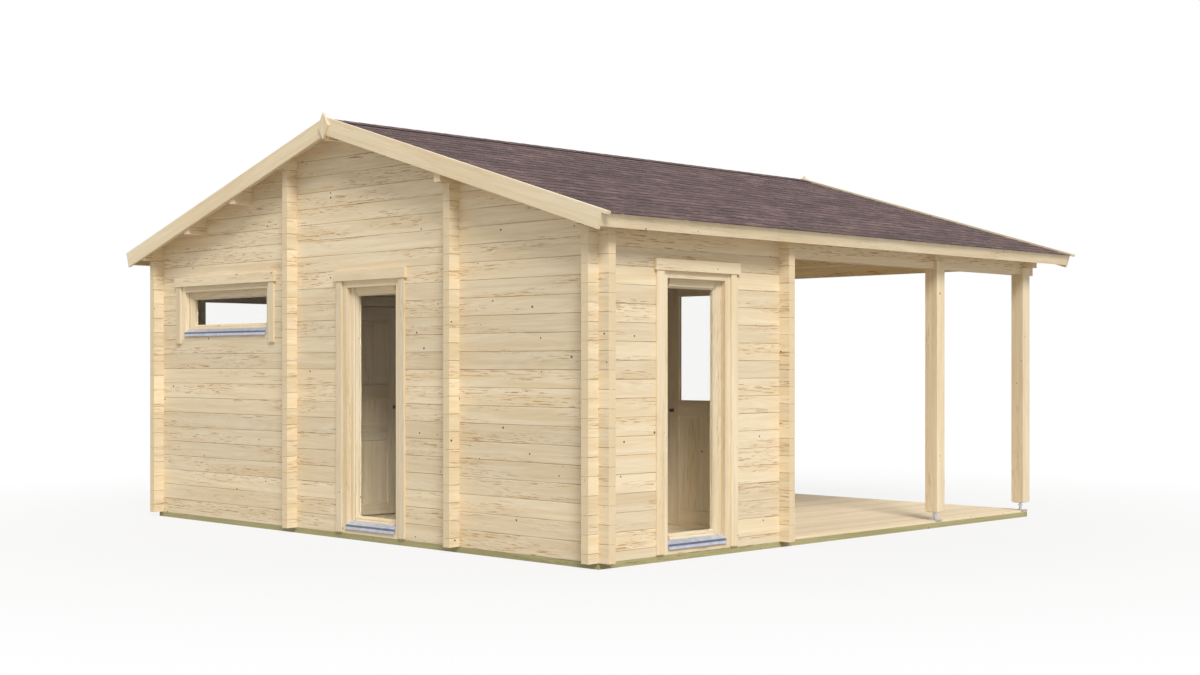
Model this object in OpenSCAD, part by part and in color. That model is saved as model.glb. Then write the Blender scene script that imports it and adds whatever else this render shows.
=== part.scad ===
// Sauna cabin of cross-halved spruce logs: three rooms in a row, a covered terrace under the same
// shallow gable roof, and two doors that swing. Millimetres, +Z up, ground at z = 0.
// The ridge runs along X. The window gable faces -X, the terrace is at +X, the near eave faces -Y.

/* [Logs] */
// Height of one log course
log_h = 134; // [125:1:145]
// Thickness of every log
log_t = 70; // [50:1:90]
// How far the crossed log ends stand out
log_end = 100; // [80:1:140]
// Depth of the V groove at each course joint
groove = 4; // [2:0.5:6]

/* [Plan] */
// Width across the two eave walls, over their outer faces
cabin_w = 5826; // [5000:1:7000]
// Length of the closed cabin along the ridge
cabin_l = 2063; // [1900:1:2600]
// Depth of the covered terrace
terrace_l = 3627; // [3000:1:4400]
// Near face of the sauna partition, from the near eave face
sauna_wall_at = 3601; // [3300:1:3700]
// Near face of the vestibule partition, from the near eave face
vestibule_wall_at = 1485; // [1400:1:1600]

/* [Roof] */
// Roof pitch in degrees
pitch = 16.8; // [14:0.1:20]
// Height of the roof's underside at the eave wall's outer face, above the lowest log's bottom
wall_top = 2455; // [2440:1:2470]
// Overhang at the window gable, to the back of the barge boards
gable_overhang = 190; // [150:1:300]
// Overhang past the terrace's end gable
terrace_overhang = 350; // [250:1:450]
// Overhang at the eaves, to the fascia's outer face
eave_overhang = 230; // [180:1:300]
// Thickness of the roof boards
roof_board_t = 20; // [16:1:28]
// Thickness of the shingle covering
shingle_t = 9; // [6:1:12]
// How far the shingles drip past the fascia
shingle_drip = 25; // [10:1:40]
// Height of the barge boards, across the board
barge_h = 116; // [100:1:160]
// Thickness of barge boards, fascias and finials
trim_t = 20; // [16:1:28]
// Height of the fascia boards
fascia_h = 95; // [80:1:120]
// Width of the batten along the roof's edge
batten_w = 40; // [35:1:60]
// Thickness of that batten
batten_t = 22; // [15:1:30]
// Depth of a purlin at its lower side
purlin_h = 130; // [110:1:150]
// Height of the diamond finial
finial_h = 215; // [180:1:260]
// Width of the diamond finial
finial_w = 136; // [110:1:160]

/* [Base and floors] */
// Height of the treated base joists
joist_h = 45; // [40:1:70]
// Width of a cross joist
joist_w = 60; // [45:1:70]
// Cross joists under the cabin, counted without the terrace wall's
joists_cabin = 3; // [2:1:5]
// Cross joists under the terrace, between its ends
joists_terrace = 5; // [4:1:8]
// Thickness of the floor and deck boards
floor_t = 20; // [18:1:28]

/* [Terrace frame] */
// Side of a square post
post_w = 120; // [100:1:140]
// Height of the adjustable steel post base
base_gap = 76; // [60:1:120]
// Inner face of the middle posts, from the cabin's end wall
post_at = 2082; // [1800:1:2300]
// How far the cross tie's ends stand out of the eave beams
tie_end = 65; // [50:1:100]

/* [Windows] */
// Width of the two tall windows' openings in the logs
tall_w = 790; // [600:1:900]
// Height of the tall windows' openings
tall_h = 2080; // [1900:1:2150]
// Width of the two low windows' openings
low_w = 1470; // [900:1:1500]
// Height of the low windows' openings
low_h = 515; // [450:1:700]
// Head of the low windows, above the lowest log's bottom
low_top = 2115; // [2060:1:2140]
// Width of a window frame member, with the strip that the casing covers
frame_w = 75; // [65:1:90]
// Depth of a window frame
frame_d = 100; // [85:1:120]
// Visible width of a sash member
sash_w = 68; // [55:1:80]
// How deep the sash sits behind the wall's face
sash_in = 42; // [30:1:50]
// Thickness of the double pane
pane_t = 12; // [8:1:16]
// Width of a side casing board
casing_w = 75; // [60:1:90]
// Height of a head casing board
head_h = 85; // [75:1:110]
// Thickness of the side casings
casing_t = 20; // [16:1:25]
// Thickness of the head casings
head_t = 28; // [20:1:32]

/* [Doors] */
// Width of a door leaf
leaf_w = 780; // [700:1:820]
// Thickness of a door leaf
leaf_t = 40; // [36:1:45]
// Height of the entrance door's leaf
entrance_h = 2000; // [1900:1:2000]
// Height of the sauna door's leaf
sauna_h = 1825; // [1750:1:1950]
// Hinge edge of the entrance leaf, from the near eave face
entrance_at = 436; // [400:1:460]
// Hinge edge of the sauna leaf, from the window gable's face
sauna_at = 310; // [280:1:360]
// Width of a door frame member
jamb_w = 45; // [40:1:60]
// Running gap round a leaf
gap = 5; // [5:0.5:8]

/* [Hidden] */

// Tones
spruce = "burlywood";
spruce_trim = "wheat";
treated = "darkkhaki";
shingle = "dimgray";
steel = "lightsteelblue";
glass = "lightblue";

// Places along the ridge
roofed_l = cabin_l + terrace_l;
x_gable = -(roofed_l + terrace_overhang - gable_overhang) / 2;
x_cabin = x_gable + cabin_l;
x_deck = x_gable + roofed_l;
x_roof_lo = x_gable - gable_overhang;
x_roof_hi = x_deck + terrace_overhang;
x_post = x_cabin + post_at;
x_tie = x_post - log_t - 15;

// Places across it: the ridge is at y = 0
y_near = -cabin_w / 2;
y_far = cabin_w / 2;
y_sauna = y_near + sauna_wall_at;
y_vest = y_near + vestibule_wall_at;

// Levels
z0 = joist_h;
z_floor = z0 + floor_t;
beam_course = 16.5;
plate_course = 17.5;
tie_course = 17;
sauna_top = 22.5;
vest_top = 20.5;
gable_courses = 25;
cut = 1;
lift = 60;

// Roof layers are measured square to the slope, up from the roof's underside, a seat apart
c = cos(pitch);
s = sin(pitch);
ridge_z = z0 + wall_top + cabin_w / 2 * tan(pitch);
slope_edge = (cabin_w / 2 + eave_overhang) / c;
batten_runs = [50, 5];
seat = 0.2;
cap_run = 125;
cap_t = 6;

// Purlins between the walls and the ridge, on the far slope only
purlin_ys = [1359, 2094];

// Window unit
rebate = 12;
pane_seat = 8;
cover = 22;
pane_in = 82;
casing_lift = 10;
low_drop = 30;
ear = 20;

// Door unit
lock_gap = gap + 3;
sill_h = 50;
frame_back = 80;
stop_w = 12;
leaf_out = 10;
leaf_lift = sill_h + lock_gap;
unit_w = leaf_w + gap + lock_gap + 2 * jamb_w;
stile_w = 120;
panel_in = 10;
handle_z = 1000;

function course(n) = z0 + n * log_h;
function roof_z(y) = ridge_z - abs(y) * tan(pitch);
function door_top(leaf_h) = z0 + leaf_lift + leaf_h + lock_gap + jamb_w;

// A point on the near slope: run down from the ridge, rise square to it
function on_slope(run, rise) = [-run * c - rise * s, ridge_z - run * s + rise * c];

// Outline of a log wall's section: a V groove on both faces at every joint
function log_section(lo, joints, hi_left, hi_right) = concat(
  [[0, lo]],
  [for (z = joints) each [[0, z - groove], [groove, z], [0, z + groove]]],
  [[0, hi_left], [log_t, hi_right]],
  [for (i = [len(joints) - 1 : -1 : 0])
    each [[log_t, joints[i] + groove], [log_t - groove, joints[i]], [log_t, joints[i] - groove]]],
  [[log_t, lo]]);

// Joints strictly between two courses, starting at the first given one
function joints_between(first, last) = [for (n = [first : last]) course(n)];

// Draws a YZ outline and runs it along X
module along_x(x_lo, x_hi) {
  translate([x_lo, 0, 0]) rotate([90, 0, 90]) linear_extrude(x_hi - x_lo) children();
}

// Draws an XZ outline and runs it along Y
module along_y(y_lo, y_hi) {
  translate([0, y_hi, 0]) rotate([90, 0, 0]) linear_extrude(y_hi - y_lo) children();
}

module box2(lo, hi) {
  translate(lo) square(hi - lo);
}

module box3(lo, hi) {
  translate(lo) cube(hi - lo);
}

// ---------- Logs ----------

// Slots in a cross wall where the logs of a long wall pass, from the ground to its top log
module long_log_slots(y, top) {
  for (n = [-1 : floor(top) - 2])
    box2([y, course(max(n + 0.75, -0.1))], [y + log_t, course(n + 1.25)]);
  box2([y, course(floor(top) - 0.25)], [y + log_t, course(floor(top) + 0.25)]);
  box2([y, course(top)], [y + log_t, ridge_z + lift]);
}

// Slots in a long wall where the logs of a cross wall pass
module cross_log_slots(x, last) {
  for (n = [0 : last])
    box2([x, course(n + 0.25)], [x + log_t, course(n + 0.75)]);
}

// Outline of a purlin under the roof, with extra height when it is used as a cut
module purlin_outline(y, bottom, extra) {
  polygon([
    [y, bottom], [y + log_t, bottom], [y + log_t, roof_z(y + log_t) + extra],
    if (y < 0 && y + log_t > 0) [0, ridge_z + extra],
    [y, roof_z(y) + extra]]);
}

module ridge_outline(extra) {
  purlin_outline(-log_t / 2, roof_z(log_t / 2) - purlin_h, extra);
}

module side_purlin_outlines(extra) {
  for (y = purlin_ys)
    purlin_outline(y, roof_z(y + log_t) - purlin_h, extra);
}

module partition_top_outlines(extra) {
  purlin_outline(y_sauna, course(sauna_top), extra);
  purlin_outline(y_vest, course(vest_top), extra);
}

// Outline of a full cross wall, from the base to the roof
module cross_wall_outline() {
  difference() {
    union() {
      box2([y_near - log_end, z0], [y_far + log_end, course(tie_course + 1)]);
      polygon([
        [y_near, course(tie_course)], [y_far, course(tie_course)],
        [y_far, roof_z(y_far)], [0, ridge_z], [y_near, roof_z(y_near)]]);
    }
    long_log_slots(y_near, plate_course);
    long_log_slots(y_far - log_t, plate_course);
    long_log_slots(y_sauna, sauna_top);
    long_log_slots(y_vest, vest_top);
    ridge_outline(lift);
    side_purlin_outlines(lift);
  }
}

// Fills an outline in the YZ plane with cross logs at x
module cross_logs(x, first) {
  intersection() {
    along_y(y_near - log_end - cut, y_far + log_end + cut)
      translate([x, 0])
        polygon(log_section(course(first), joints_between(first + 1, gable_courses),
                            ridge_z + lift, ridge_z + lift));
    along_x(x - cut, x + log_t + cut) children();
  }
}

// Fills an outline in the XZ plane with long logs at y
module long_logs(y, lo, first, last, hi_left, hi_right) {
  intersection() {
    along_x(x_gable - log_end - cut, x_deck + log_end + cut)
      translate([y, 0])
        polygon(log_section(lo, joints_between(first, last), hi_left, hi_right));
    along_y(y - cut, y + log_t + cut) children();
  }
}

module eave_outline() {
  difference() {
    box2([x_gable - log_end, z0], [x_cabin + log_end, course(beam_course)]);
    cross_log_slots(x_gable, 16);
    cross_log_slots(x_cabin - log_t, 16);
  }
}

module eave_wall(y) {
  long_logs(y, z0, 0.5, 15.5, course(beam_course), course(beam_course)) difference() {
    eave_outline();
    children();
  }
}

module partition_outline(top) {
  difference() {
    box2([x_gable - log_end, z0], [x_cabin + log_end, course(top)]);
    cross_log_slots(x_gable, floor(top));
    cross_log_slots(x_cabin - log_t, floor(top));
  }
}

// One stretch of a partition, from x_lo to x_hi and upwards from z_lo
module partition(y, top, x_lo, x_hi, z_lo) {
  long_logs(y, z0, 0.5, top - 1, course(top), course(top)) intersection() {
    partition_outline(top);
    box2([x_lo, z_lo], [x_hi, course(top)]);
  }
}

// Ends of the doorway in a partition
x_way_lo = x_gable + sauna_at - gap - jamb_w;
x_way_hi = x_way_lo + unit_w;
x_end_lo = x_gable - log_end;
x_end_hi = x_cabin + log_end;

// Ends of the doorway in the terrace wall
y_way_lo = y_near + entrance_at - gap - jamb_w;
y_way_hi = y_way_lo + unit_w;

// ---------- Base ----------

// Starts of the cross joists, from the window gable to the deck's end
joist_xs = concat(
  [for (i = [0 : joists_cabin]) x_gable + i * (cabin_l - log_t) / (joists_cabin + 1)],
  [for (i = [0 : joists_terrace + 1])
    x_cabin - log_t + i * (terrace_l + log_t - joist_w) / (joists_terrace + 1)]);

module cross_joists() color(treated) {
  for (i = [0 : len(joist_xs) - 1]) {
    at_end = i == 0 || i == len(joist_xs) - 1;
    inset = at_end ? 0 : joist_w;
    box3([joist_xs[i], y_near + inset, 0], [joist_xs[i] + joist_w, y_far - inset, joist_h]);
  }
}

module rim_joists() color(treated) {
  for (y = [y_near, y_far - joist_w])
    box3([x_gable + joist_w, y, 0], [x_deck - joist_w, y + joist_w, joist_h]);
}

// A floor in each room, laid between the walls and cut round the feet of the frames
module cabin_floor() color(spruce_trim) {
  edges = [y_near, y_vest, y_sauna, y_far - log_t];
  difference() {
    for (i = [0 : 2])
      box3([x_gable + log_t, edges[i] + log_t, z0], [x_cabin - log_t, edges[i + 1], z_floor]);
    at_windows_tall() translate([-tall_w / 2, 0, -cut]) cube([tall_w, frame_d, sill_h]);
    at_doorways() translate([-gap - jamb_w, 0, -cut]) cube([unit_w, frame_back, sill_h]);
  }
}

// The deck is let in round the log ends
module terrace_deck() color(spruce_trim) {
  difference() {
    box3([x_cabin, y_near, z0], [x_deck, y_far, z_floor]);
    for (y = [y_near, y_vest, y_sauna, y_far - log_t])
      box3([x_cabin - cut, y, z0 - cut], [x_end_hi, y + log_t, z_floor + cut]);
  }
}

// ---------- Walls ----------

// Middles of the three rooms and of the cabin
y_wash_mid = (y_vest + log_t + y_sauna) / 2;
y_sauna_mid = (y_sauna + log_t + y_far - log_t) / 2;
x_mid = x_gable + cabin_l / 2;

module tall_opening(at) {
  box2([at - tall_w / 2, z0 - cut], [at + tall_w / 2, z0 + tall_h]);
}

module low_opening(at) {
  box2([at - low_w / 2, z0 + low_top - low_h], [at + low_w / 2, z0 + low_top]);
}

module window_gable_wall() color(spruce) {
  cross_logs(x_gable, 0) difference() {
    cross_wall_outline();
    tall_opening(y_wash_mid);
    low_opening(y_sauna_mid);
  }
}

module near_eave_wall() color(spruce) {
  eave_wall(y_near) tall_opening(x_mid);
}

module far_eave_wall() color(spruce) {
  eave_wall(y_far - log_t) low_opening(x_mid);
}

module terrace_wall(y_lo, y_hi, z_lo) {
  cross_logs(x_cabin - log_t, 0) intersection() {
    cross_wall_outline();
    box2([y_lo, z_lo], [y_hi, ridge_z + lift]);
  }
}

module terrace_wall_near() color(spruce)
  terrace_wall(y_near - log_end, y_way_lo, z0);
module terrace_wall_over_door() color(spruce)
  terrace_wall(y_way_lo, y_way_hi, door_top(entrance_h));
module terrace_wall_far() color(spruce)
  terrace_wall(y_way_hi, y_far + log_end, z0);

module sauna_partition_front() color(spruce)
  partition(y_sauna, sauna_top, x_end_lo, x_way_lo, z0);
module sauna_partition_over_door() color(spruce)
  partition(y_sauna, sauna_top, x_way_lo, x_way_hi, door_top(sauna_h));
module sauna_partition_back() color(spruce)
  partition(y_sauna, sauna_top, x_way_hi, x_end_hi, z0);

module vestibule_partition_front() color(spruce)
  partition(y_vest, vest_top, x_end_lo, x_way_lo, z0);
module vestibule_partition_over_door() color(spruce)
  partition(y_vest, vest_top, x_way_lo, x_way_hi, door_top(sauna_h));
module vestibule_partition_back() color(spruce)
  partition(y_vest, vest_top, x_way_hi, x_end_hi, z0);

// ---------- Roof frame ----------

// The terrace's end gable hangs between the eave beams and the roof
module end_gable() color(spruce) {
  cross_logs(x_deck - log_t, tie_course) intersection() {
    cross_wall_end_outline();
    box2([y_near - log_end, course(tie_course)], [y_far + log_end, ridge_z + lift]);
  }
}

module cross_wall_end_outline() {
  difference() {
    union() {
      box2([y_near - log_end, course(tie_course)], [y_far + log_end, course(tie_course + 1)]);
      polygon([
        [y_near, course(tie_course)], [y_far, course(tie_course)],
        [y_far, roof_z(y_far)], [0, ridge_z], [y_near, roof_z(y_near)]]);
    }
    long_log_slots(y_near, plate_course);
    long_log_slots(y_far - log_t, plate_course);
    ridge_outline(lift);
    side_purlin_outlines(lift);
    partition_top_outlines(lift);
  }
}

// One cross log over the middle posts ties the eave beams
module cross_tie() color(spruce) {
  along_x(x_tie, x_tie + log_t) difference() {
    box2([y_near - tie_end, course(tie_course)], [y_far + tie_end, course(tie_course + 1)]);
    long_log_slots(y_near, plate_course);
    long_log_slots(y_far - log_t, plate_course);
  }
}

// The second log from the top runs on over the posts
module eave_beams() color(spruce) {
  for (y = [y_near, y_far - log_t])
    along_y(y, y + log_t) difference() {
      box2([x_gable - log_end, course(beam_course)], [x_deck + log_end, course(plate_course)]);
      cross_log_slots(x_gable, 17);
      cross_log_slots(x_cabin - log_t, 17);
      for (x = [x_tie, x_deck - log_t])
        box2([x, course(tie_course + 0.25)], [x + log_t, course(plate_course) + cut]);
    }
}

// The top log is bevelled to the slope and carries the roof from barge to barge
module wall_plates() color(spruce) {
  along_x(x_roof_lo, x_roof_hi) {
    purlin_outline(y_near, course(plate_course), 0);
    purlin_outline(y_far - log_t, course(plate_course), 0);
  }
}

// The ridge log, two logs on the far slope and the top logs of the partitions run the whole roof
module purlins() color(spruce) along_x(x_roof_lo, x_roof_hi) {
  ridge_outline(0);
  side_purlin_outlines(0);
  partition_top_outlines(0);
}

// Posts straddle the eave beam, which is let into their tops
post_out = (post_w - log_t) / 2;
post_xs = [x_post, x_deck - post_w];

module terrace_posts() color(spruce_trim) {
  for (x = post_xs, side = [0, 1])
    mirror([0, side, 0]) difference() {
      box3([x, y_near - post_out, z_floor + base_gap],
           [x + post_w, y_near - post_out + post_w, course(tie_course)]);
      box3([x - cut, y_near, course(beam_course)],
           [x + post_w + cut, y_near + log_t, course(tie_course) + cut]);
    }
}

// A foot plate, a threaded rod with a nut, and a head plate
base_plate = 100;
plate_t = 6;
rod_r = 12;
nut_r = 20;

module post_bases() color(steel) {
  for (x = post_xs, side = [-1, 1])
    translate([x + post_w / 2, side * (cabin_w / 2 - log_t / 2), z_floor]) {
      translate([-base_plate / 2, -base_plate / 2, 0]) cube([base_plate, base_plate, plate_t]);
      cylinder(r = rod_r, h = base_gap, $fn = 32);
      translate([0, 0, base_gap / 2]) cylinder(r = nut_r, h = 18, $fn = 6);
      translate([-base_plate / 2, -base_plate / 2, base_gap - plate_t])
        cube([base_plate, base_plate, plate_t]);
    }
}

// ---------- Roof cover ----------

// A layer of one slope between two rises, down to the given run
module slope_layer(rise_lo, rise_hi, run) {
  polygon([
    [0, ridge_z + rise_lo / c], on_slope(run, rise_lo),
    on_slope(run, rise_hi), [0, ridge_z + rise_hi / c]]);
}

// Both ends of the roof: the trim in front of the boards
barge_xs = [x_roof_lo - trim_t, x_roof_hi];
board_run = slope_edge - trim_t;
skin_lo = x_roof_lo - trim_t + batten_w;
skin_hi = x_roof_hi + trim_t - batten_w;

module near_roof_boards() color(spruce_trim)
  along_x(x_roof_lo, x_roof_hi) slope_layer(seat, roof_board_t, board_run);
module far_roof_boards() color(spruce_trim)
  mirror([0, 1, 0]) along_x(x_roof_lo, x_roof_hi) slope_layer(seat, roof_board_t, board_run);

module shingle_slope() {
  along_x(skin_lo, skin_hi)
    slope_layer(roof_board_t + seat, roof_board_t + shingle_t, slope_edge + shingle_drip);
}

module near_shingles() color(shingle) shingle_slope();
module far_shingles() color(shingle) mirror([0, 1, 0]) shingle_slope();

// A strip bent over the ridge
module ridge_cap() color(shingle) {
  lo = roof_board_t + shingle_t + seat;
  edge_lo = on_slope(cap_run, lo);
  edge_hi = on_slope(cap_run, lo + cap_t);
  along_x(skin_lo, skin_hi) polygon([
    edge_lo, [0, ridge_z + lo / c], [-edge_lo[0], edge_lo[1]],
    [-edge_hi[0], edge_hi[1]], [0, ridge_z + (lo + cap_t) / c], edge_hi]);
}

module fascia_boards() color(spruce_trim) {
  for (side = [0, 1])
    mirror([0, side, 0]) along_x(x_roof_lo, x_roof_hi) polygon([
      on_slope(board_run + seat, roof_board_t - fascia_h), on_slope(slope_edge, roof_board_t - fascia_h),
      on_slope(slope_edge, roof_board_t), on_slope(board_run + seat, roof_board_t)]);
}

module barge_pair() {
  for (x = barge_xs)
    along_x(x, x + trim_t) slope_layer(roof_board_t - barge_h, roof_board_t, slope_edge);
}

module near_barge_boards() color(spruce_trim) barge_pair();
module far_barge_boards() color(spruce_trim) mirror([0, 1, 0]) barge_pair();

module barge_battens() color(spruce_trim) {
  for (x = [x_roof_lo - trim_t, skin_hi])
    along_x(x, x + batten_w) for (side = [0, 1])
      mirror([side, 0])
        slope_layer(roof_board_t + seat, roof_board_t + batten_t, slope_edge + batten_runs[side]);
}

// A diamond board covers the joint of the barge boards at each apex
finial_z = ridge_z - 30;

module finials() color(spruce_trim) {
  for (x = [x_roof_lo - 2 * trim_t, x_roof_hi + trim_t])
    along_x(x, x + trim_t) polygon([
      [0, finial_z - finial_h / 2], [finial_w / 2, finial_z],
      [0, finial_z + finial_h / 2], [-finial_w / 2, finial_z]]);
}

// ---------- Windows ----------

// Stands children at the middle of each window's foot: x across, y into the wall, z up
module at_windows_tall() {
  translate([x_mid, y_near, z0]) children();
  translate([x_gable, y_wash_mid, z0]) rotate([0, 0, -90]) children();
}

module at_windows_low() {
  translate([x_gable, y_sauna_mid, z0 + low_top - low_h]) rotate([0, 0, -90]) children();
  translate([x_mid, y_far, z0 + low_top - low_h]) rotate([0, 0, 180]) children();
}

// A plate with a hole, standing across x, from y_lo to y_hi deep
module ring(w, h, member, y_lo, y_hi) {
  difference() {
    translate([-w / 2, y_lo, 0]) cube([w, y_hi - y_lo, h]);
    translate([-w / 2 + member, y_lo - cut, member])
      cube([w - 2 * member, y_hi - y_lo + 2 * cut, h - 2 * member]);
  }
}

module window_frame(w, h) {
  difference() {
    ring(w, h, frame_w, 0, frame_d);
    translate([0, 0, frame_w - rebate]) sash_blank(w, h);
  }
}

module sash_blank(w, h) {
  sw = w - 2 * (frame_w - rebate);
  sh = h - 2 * (frame_w - rebate);
  translate([-sw / 2, sash_in, 0]) cube([sw, frame_d - sash_in + cut, sh]);
}

// Size of the hole that shows through a sash, across or up
function light_size(size) = size - 2 * (frame_w + sash_w);

module window_sash(w, h) {
  member = sash_w + rebate;
  sw = w - 2 * (frame_w - rebate);
  sh = h - 2 * (frame_w - rebate);
  difference() {
    translate([0, 0, frame_w - rebate]) ring(sw, sh, member, sash_in, frame_d - 2);
    window_pane_blank(w, h, frame_d);
  }
}

module window_pane_blank(w, h, y_hi) {
  pw = light_size(w) + 2 * pane_seat;
  ph = light_size(h) + 2 * pane_seat;
  translate([-pw / 2, pane_in, frame_w + sash_w - pane_seat]) cube([pw, y_hi - pane_in, ph]);
}

// A folded sheet that sheds water from the sash over the frame's foot
sill_t = 3;
sill_out = 16;
sill_back = 102;
sill_front = 68;
sill_foot = 38;

module window_sill(w) {
  half = w / 2 - frame_w;
  translate([-half, 0, 0]) rotate([90, 0, 90]) linear_extrude(2 * half) polygon([
    [sash_in, sill_back], [-sill_out, sill_front], [-sill_out, sill_foot],
    [-sill_out + sill_t, sill_foot], [-sill_out + sill_t, sill_front - sill_t],
    [-cut, sill_front - sill_t + 8], [-cut, frame_w], [sash_in, frame_w]]);
}

// Side boards and a longer, thicker head board, one joined surround a window
module casing(w, h, foot) {
  clear = w - 2 * cover;
  for (side = [0, 1])
    mirror([side, 0, 0]) translate([clear / 2, -casing_t, foot]) cube([casing_w, casing_t, h - cover - foot]);
  translate([-clear / 2 - casing_w - ear, -head_t, h - cover])
    cube([clear + 2 * (casing_w + ear), head_t, head_h]);
}

module window_frames() color(spruce_trim) {
  at_windows_tall() window_frame(tall_w, tall_h);
  at_windows_low() window_frame(low_w, low_h);
}

module window_sashes() color(spruce_trim) {
  at_windows_tall() window_sash(tall_w, tall_h);
  at_windows_low() window_sash(low_w, low_h);
}

module window_panes() color(glass) {
  at_windows_tall() window_pane_blank(tall_w, tall_h, pane_in + pane_t);
  at_windows_low() window_pane_blank(low_w, low_h, pane_in + pane_t);
}

module window_sills() color(steel) {
  at_windows_tall() window_sill(tall_w);
  at_windows_low() window_sill(low_w);
}

module opening_casings() color(spruce_trim) {
  at_windows_tall() casing(tall_w, tall_h, casing_lift);
  at_windows_low() casing(low_w, low_h, -low_drop);
  at_entrance() door_casing(entrance_h);
  at_sauna_door() door_casing(sauna_h);
  at_vestibule_way() door_casing(sauna_h);
}

// ---------- Doors ----------

// Stands children at a leaf's hinge edge: x towards the lock, y into the wall, z up
module at_entrance() {
  translate([x_cabin, y_near + entrance_at, z0]) rotate([0, 0, 90]) children();
}

module at_sauna_door() {
  translate([x_gable + sauna_at, y_sauna, z0]) children();
}

module at_vestibule_way() {
  translate([x_gable + sauna_at, y_vest, z0]) children();
}

module at_doorways() {
  at_entrance() children();
  at_sauna_door() children();
  at_vestibule_way() children();
}

// Lining of a doorway with a threshold, and a stop when a leaf closes on it
module door_frame(leaf_h, stopped) {
  top = leaf_lift + leaf_h + lock_gap;
  stop = stopped ? stop_w : 0;
  lo = -gap - jamb_w;
  difference() {
    translate([lo, 0, 0]) cube([unit_w, frame_back, top + jamb_w]);
    translate([-gap, -cut, sill_h]) cube([leaf_w + gap + lock_gap, leaf_t - leaf_out + gap + cut, top - sill_h]);
    translate([-gap + stop, 0, sill_h])
      cube([leaf_w + gap + lock_gap - 2 * stop, frame_back + cut, top - sill_h - stop]);
  }
}

module door_frames() color(spruce_trim) {
  at_entrance() door_frame(entrance_h, true);
  at_sauna_door() door_frame(sauna_h, true);
  at_vestibule_way() door_frame(sauna_h, false);
}

module door_casing(leaf_h) {
  top = leaf_lift + leaf_h + lock_gap;
  foot = z_floor - z0;
  translate([-gap - casing_w, -casing_t, foot]) cube([casing_w, casing_t, top - foot]);
  translate([leaf_w + lock_gap, -casing_t, foot]) cube([casing_w, casing_t, top - foot]);
  translate([-gap - casing_w - ear, -head_t, top])
    cube([leaf_w + gap + lock_gap + 2 * (casing_w + ear), head_t, head_h]);
}

// A leaf with panels sunk in both faces: each panel is a pair of heights
module leaf(leaf_h, panels) {
  translate([0, -leaf_out, leaf_lift]) difference() {
    cube([leaf_w, leaf_t, leaf_h]);
    for (p = panels, y = [-cut, leaf_t - panel_in])
      translate([stile_w, y, p[0]]) cube([leaf_w - 2 * stile_w, panel_in + cut, p[1] - p[0]]);
  }
}

// Heights on the entrance leaf, from its foot
entrance_panel = [115, 897];
light_lo = 1016;
light_hi = entrance_h - 110;
door_pane_t = 14;

module entrance_leaf() color(spruce_trim) at_entrance() difference() {
  leaf(entrance_h, [entrance_panel]);
  translate([stile_w, -leaf_out - cut, leaf_lift + light_lo])
    cube([leaf_w - 2 * stile_w, leaf_t + 2 * cut, light_hi - light_lo]);
}

module entrance_pane() color(glass) at_entrance()
  translate([stile_w, -leaf_out + (leaf_t - door_pane_t) / 2, leaf_lift + light_lo])
    cube([leaf_w - 2 * stile_w, door_pane_t, light_hi - light_lo]);

// Heights on the sauna leaf, from its foot
sauna_panels = [[90, 660], [788, 1022], [1141, sauna_h - 135]];

module sauna_leaf() color(spruce_trim) at_sauna_door() leaf(sauna_h, sauna_panels);

// A rose, a neck and a small knob on each face of a leaf
rose_r = 15;
rose_t = 4;
neck_r = 6;
knob_r = 13;
knob_t = 18;
reach = 30;
handle_in = 60;

module handle() rotate([90, 0, 0]) {
  cylinder(r = rose_r, h = rose_t, $fn = 48);
  cylinder(r = neck_r, h = reach, $fn = 32);
  translate([0, 0, reach - knob_t]) cylinder(r = knob_r, h = knob_t, $fn = 48);
}

module handles() {
  translate([leaf_w - handle_in, -leaf_out, handle_z]) handle();
  translate([leaf_w - handle_in, leaf_t - leaf_out, handle_z]) mirror([0, 1, 0]) handle();
}

// Hinges stand in front of the casing: the leaf's knuckle rests on the frame's
hinge_r = 8;
hinge_x = -2;
hinge_y = -casing_t - hinge_r;
hinge_half = 50;
hinge_wing = 46;
hinge_t = 3;
hinge_play = 0.3;
entrance_hinges = [200, 1000, 1800];
sauna_hinges = [200, 1600];

module knuckle(z) {
  translate([hinge_x, hinge_y, z]) cylinder(r = hinge_r, h = hinge_half, $fn = 48);
}

module frame_hinge(z) {
  knuckle(z);
  translate([hinge_x - hinge_wing, -casing_t - hinge_t, z]) cube([hinge_wing, hinge_t, hinge_half]);
}

module leaf_hinge(z) {
  lo = z + hinge_half + hinge_play;
  knuckle(lo);
  translate([hinge_t, hinge_y, lo]) cube([hinge_t, -hinge_y - leaf_out, hinge_half]);
  translate([hinge_t, -leaf_out - hinge_t, lo]) cube([hinge_wing, hinge_t, hinge_half]);
}

module frame_hinges() color(steel) {
  at_entrance() for (z = entrance_hinges) frame_hinge(z);
  at_sauna_door() for (z = sauna_hinges) frame_hinge(z);
}

module entrance_fittings() color(steel) at_entrance() {
  handles();
  for (z = entrance_hinges) leaf_hinge(z);
}

module sauna_fittings() color(steel) at_sauna_door() {
  handles();
  for (z = sauna_hinges) leaf_hinge(z);
}

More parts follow.
